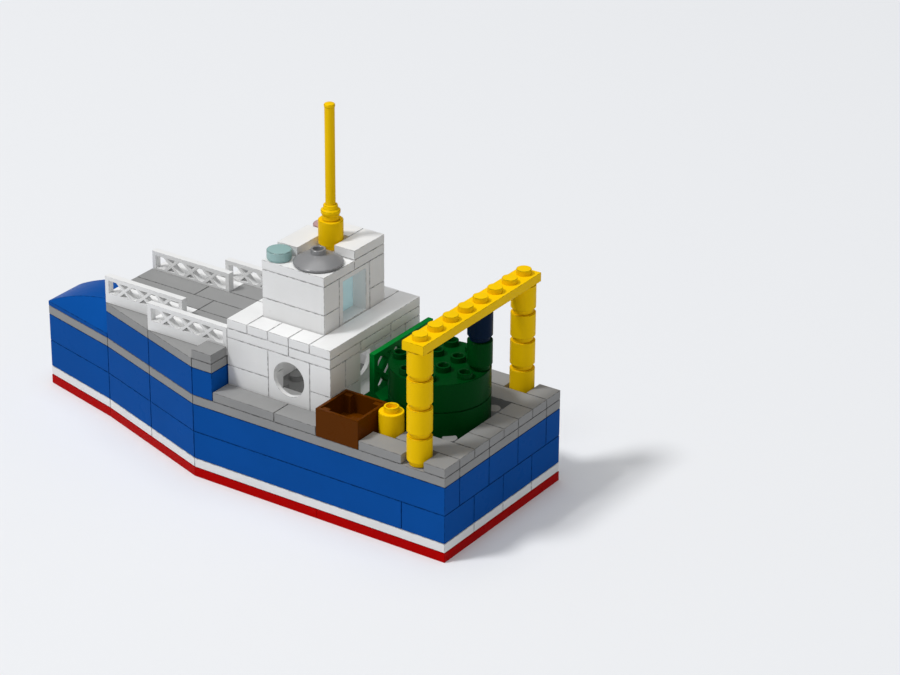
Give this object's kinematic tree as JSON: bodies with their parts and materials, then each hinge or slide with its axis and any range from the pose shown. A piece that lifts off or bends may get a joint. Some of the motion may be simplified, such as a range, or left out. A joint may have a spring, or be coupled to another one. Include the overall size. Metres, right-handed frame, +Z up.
{
  "type": "toy brick model of a fishing trawler",
  "caption": "Toy brick model of a stern trawler with a blue hull, white cabin and wheelhouse, yellow net gantry, net drum, turning radar dish and turning mast",
  "frame": {"origin": "centre of the footprint of the whole model, on the ground under the flat bottom", "axes": "+X to the bow, +Y to port, +Z up"},
  "size_m": [0.176, 0.064, 0.1216],
  "materials": {
    "red_plastic": "dark red moulded plastic, smooth",
    "white_plastic": "white moulded plastic, smooth",
    "blue_plastic": "blue moulded plastic, smooth",
    "grey_plastic": "medium grey moulded plastic, smooth",
    "yellow_plastic": "bright yellow moulded plastic, smooth",
    "dark_green_plastic": "dark green moulded plastic, smooth",
    "green_plastic": "green moulded plastic, smooth",
    "navy_plastic": "dark blue moulded plastic, smooth",
    "brown_plastic": "brown moulded plastic, smooth",
    "silver_plastic": "metal-coloured plastic, satin",
    "teal_clear": "teal see-through plastic",
    "red_clear": "red see-through plastic",
    "blue_glass": "pale blue see-through plastic"
  },
  "bodies": {
    "hull": {"barrel": "yellow_plastic", "bottom_plates": "red_plastic", "bow_wedge": "blue_plastic", "cabin_aft_bricks_port": "white_plastic", "cabin_aft_bricks_starboard": "white_plastic", "cabin_front_bricks_lower": "white_plastic", "cabin_front_bricks_upper": "white_plastic", "cabin_roof_plates": "white_plastic", "cabin_roof_tiles": "white_plastic", "deck_plates": "grey_plastic", "fence_port_aft": "white_plastic", "fence_port_fore": "white_plastic", "fence_starboard_aft": "white_plastic", "fence_starboard_fore": "white_plastic", "fish_crate": "brown_plastic", "foredeck_bricks": "blue_plastic", "foredeck_plate": "grey_plastic", "foredeck_tiles_port": "grey_plastic", "foredeck_tiles_starboard": "grey_plastic", "gantry_beam": "yellow_plastic", "gantry_pillar_port": "yellow_plastic", "gantry_pillar_starboard": "yellow_plastic", "hull_bricks_lower_aft": "blue_plastic", "hull_bricks_lower_bow": "blue_plastic", "hull_bricks_upper_aft": "blue_plastic", "hull_bricks_upper_bow": "blue_plastic", "lamp_port": "teal_clear", "lamp_starboard": "red_clear", "mast_base": "yellow_plastic", "net_column_lower": "dark_green_plastic", "net_column_upper": "navy_plastic", "net_drum_lower": "dark_green_plastic", "net_drum_upper": "dark_green_plastic", "net_trellis": "green_plastic", "port_gunwale_tile_aft": "grey_plastic", "port_gunwale_tiles_fore": "grey_plastic", "porthole_panel_aft": "white_plastic", "porthole_panel_port": "white_plastic", "porthole_panel_starboard": "white_plastic", "roof_tile_aft": "white_plastic", "roof_tile_fore": "white_plastic", "roof_tile_side": "white_plastic", "starboard_gunwale_tiles": "grey_plastic", "step_tile_port": "grey_plastic", "step_tile_starboard": "grey_plastic", "stern_tiles": "grey_plastic", "waterline_plates": "white_plastic", "wheelhouse_roof_plate_port": "white_plastic", "wheelhouse_roof_plate_starboard": "white_plastic", "wheelhouse_wall_port": "white_plastic", "wheelhouse_wall_starboard": "white_plastic", "window_frame_aft": "white_plastic", "window_frame_fore": "white_plastic", "window_glass_aft": "blue_glass", "window_glass_fore": "blue_glass"},
    "radar_dish": {"radar_dish": "silver_plastic"},
    "mast": {"mast": "yellow_plastic"}
  },
  "joints": [
    {"name": "radar_turn", "type": "hinge", "parent": "hull", "child": "radar_dish", "pos_m": [-0.024, 0.008, 0.0736], "axis": [0, 0, 1], "continuous": true},
    {"name": "mast_turn", "type": "hinge", "parent": "hull", "child": "mast", "pos_m": [-0.02, -0.004, 0.0832], "axis": [0, 0, 1], "continuous": true}
  ]
}
